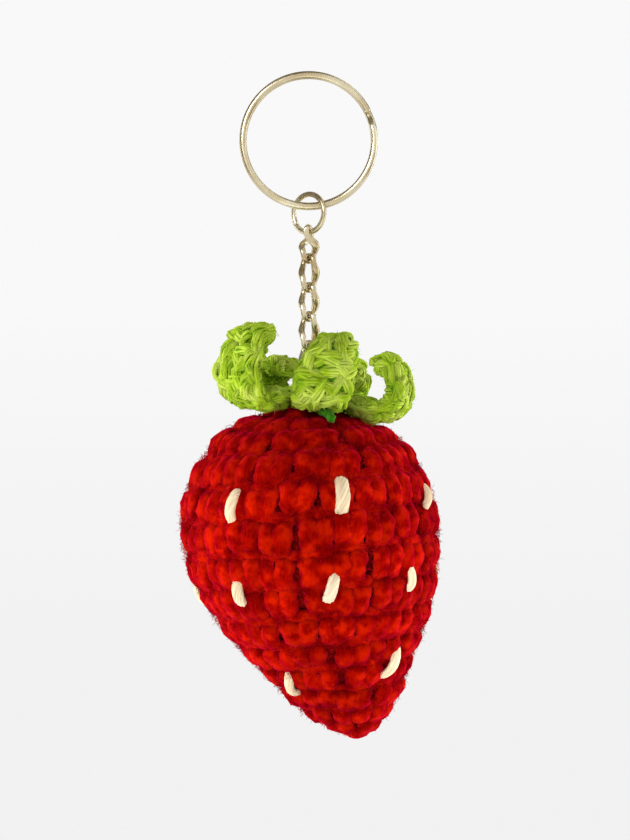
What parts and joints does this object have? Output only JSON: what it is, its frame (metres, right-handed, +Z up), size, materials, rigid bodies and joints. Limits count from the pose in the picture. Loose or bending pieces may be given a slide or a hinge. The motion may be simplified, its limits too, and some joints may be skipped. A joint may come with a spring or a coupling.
{
  "type": "strawberry plush keychain",
  "caption": "Crocheted plush strawberry with a curling green calyx and embroidered seeds, hung from a split ring by a jump ring and a short curb chain.",
  "frame": {"origin": "centre of the split ring's eye, where a hook or a key would hold it", "axes": "+Z up with the keychain hanging, +Y along the split ring's axis towards the back, +X to the right seen from the front"},
  "size_m": [0.0481, 0.0482, 0.1197],
  "materials": {
    "metal": "plated champagne metal, polished",
    "green_yarn": "crocheted yarn",
    "dark_green_yarn": "plied yarn",
    "red_yarn": "crocheted yarn",
    "cream_yarn": "plied yarn",
    "stuffing": "loose polyester fibre"
  },
  "bodies": {
    "split_ring": {"split_ring": "metal"},
    "jump_ring": {"jump_ring": "metal"},
    "chain_link_1": {"chain_link_1": "metal"},
    "chain_link_2": {"chain_link_2": "metal"},
    "chain_link_3": {"chain_link_3": "metal"},
    "chain_link_4": {"chain_link_4": "metal"},
    "chain_link_5": {"chain_link_5": "metal"},
    "strawberry": {"hanging_loop": "green_yarn", "anchor_knot": "green_yarn", "crown_drawstring": "red_yarn", "calyx_centre": "green_yarn", "calyx_stitches": "green_yarn", "calyx_yarn_end": "dark_green_yarn", "berry_cover": "red_yarn", "stuffing": "stuffing", "seed_upper_1": "cream_yarn", "seed_upper_2": "cream_yarn", "seed_upper_3": "cream_yarn", "seed_upper_4": "cream_yarn", "seed_upper_5": "cream_yarn", "seed_upper_6": "cream_yarn", "seed_middle_1": "cream_yarn", "seed_middle_2": "cream_yarn", "seed_middle_3": "cream_yarn", "seed_middle_4": "cream_yarn", "seed_middle_5": "cream_yarn", "seed_middle_6": "cream_yarn", "seed_middle_7": "cream_yarn", "seed_lower_1": "cream_yarn", "seed_lower_2": "cream_yarn", "seed_lower_3": "cream_yarn", "seed_lower_4": "cream_yarn"},
    "leaf_left": {"leaf_left": "green_yarn"},
    "leaf_front": {"leaf_front": "green_yarn"},
    "leaf_right": {"leaf_right": "green_yarn"},
    "leaf_back_right": {"leaf_back_right": "green_yarn"},
    "leaf_back_left": {"leaf_back_left": "green_yarn"}
  },
  "joints": [
    {"name": "jump_ring_travel", "type": "hinge", "parent": "split_ring", "child": "jump_ring", "pos_m": [0, 0, 0], "axis": [0, 1, 0], "continuous": true},
    {"name": "link_1_swing", "type": "hinge", "parent": "jump_ring", "child": "chain_link_1", "pos_m": [0, 0, -0.01655], "axis": [0.788, -0.6157, 0], "range_deg": [-60, 60]},
    {"name": "link_2_swing", "type": "hinge", "parent": "chain_link_1", "child": "chain_link_2", "pos_m": [0, 0, -0.02178], "axis": [0.7071, 0.7071, 0], "range_deg": [-60, 60]},
    {"name": "link_3_swing", "type": "hinge", "parent": "chain_link_2", "child": "chain_link_3", "pos_m": [0, 0, -0.02595], "axis": [-0.7071, 0.7071, 0], "range_deg": [-60, 60]},
    {"name": "link_4_swing", "type": "hinge", "parent": "chain_link_3", "child": "chain_link_4", "pos_m": [0, 0, -0.03224], "axis": [-0.7071, -0.7071, 0], "range_deg": [-60, 60]},
    {"name": "link_5_swing", "type": "hinge", "parent": "chain_link_4", "child": "chain_link_5", "pos_m": [0, 0, -0.03641], "axis": [0.7071, -0.7071, 0], "range_deg": [-45, 50]},
    {"name": "strawberry_swing", "type": "hinge", "parent": "chain_link_5", "child": "strawberry", "pos_m": [0, 0, -0.0427], "axis": [0.7071, 0.7071, 0], "range_deg": [-15, 15]},
    {"name": "leaf_left_flex", "type": "hinge", "parent": "strawberry", "child": "leaf_left", "pos_m": [-0.00499, -0.00403, -0.04628], "axis": [-0.5561, 0.829, 0.0585], "range_deg": [-8, 12], "stiffness_Nm_per_rad": 0.0025},
    {"name": "leaf_front_flex", "type": "hinge", "parent": "strawberry", "child": "leaf_front", "pos_m": [0.00145, -0.00718, -0.04695], "axis": [-0.9921, -0.0698, 0.1043], "range_deg": [-4, 10], "stiffness_Nm_per_rad": 0.0025},
    {"name": "leaf_right_flex", "type": "hinge", "parent": "strawberry", "child": "leaf_right", "pos_m": [0.00776, -0.00222, -0.04762], "axis": [-0.3073, -0.9511, 0.0323], "range_deg": [-6, 10], "stiffness_Nm_per_rad": 0.0025},
    {"name": "leaf_back_right_flex", "type": "hinge", "parent": "strawberry", "child": "leaf_back_right", "pos_m": [0.00409, 0.00647, -0.04723], "axis": [0.8939, -0.4384, -0.094], "range_deg": [-6, 10], "stiffness_Nm_per_rad": 0.0025},
    {"name": "leaf_back_left_flex", "type": "hinge", "parent": "strawberry", "child": "leaf_back_left", "pos_m": [-0.00402, 0.00518, -0.04638], "axis": [0.7154, 0.6947, -0.0752], "range_deg": [-6, 10], "stiffness_Nm_per_rad": 0.0025}
  ]
}
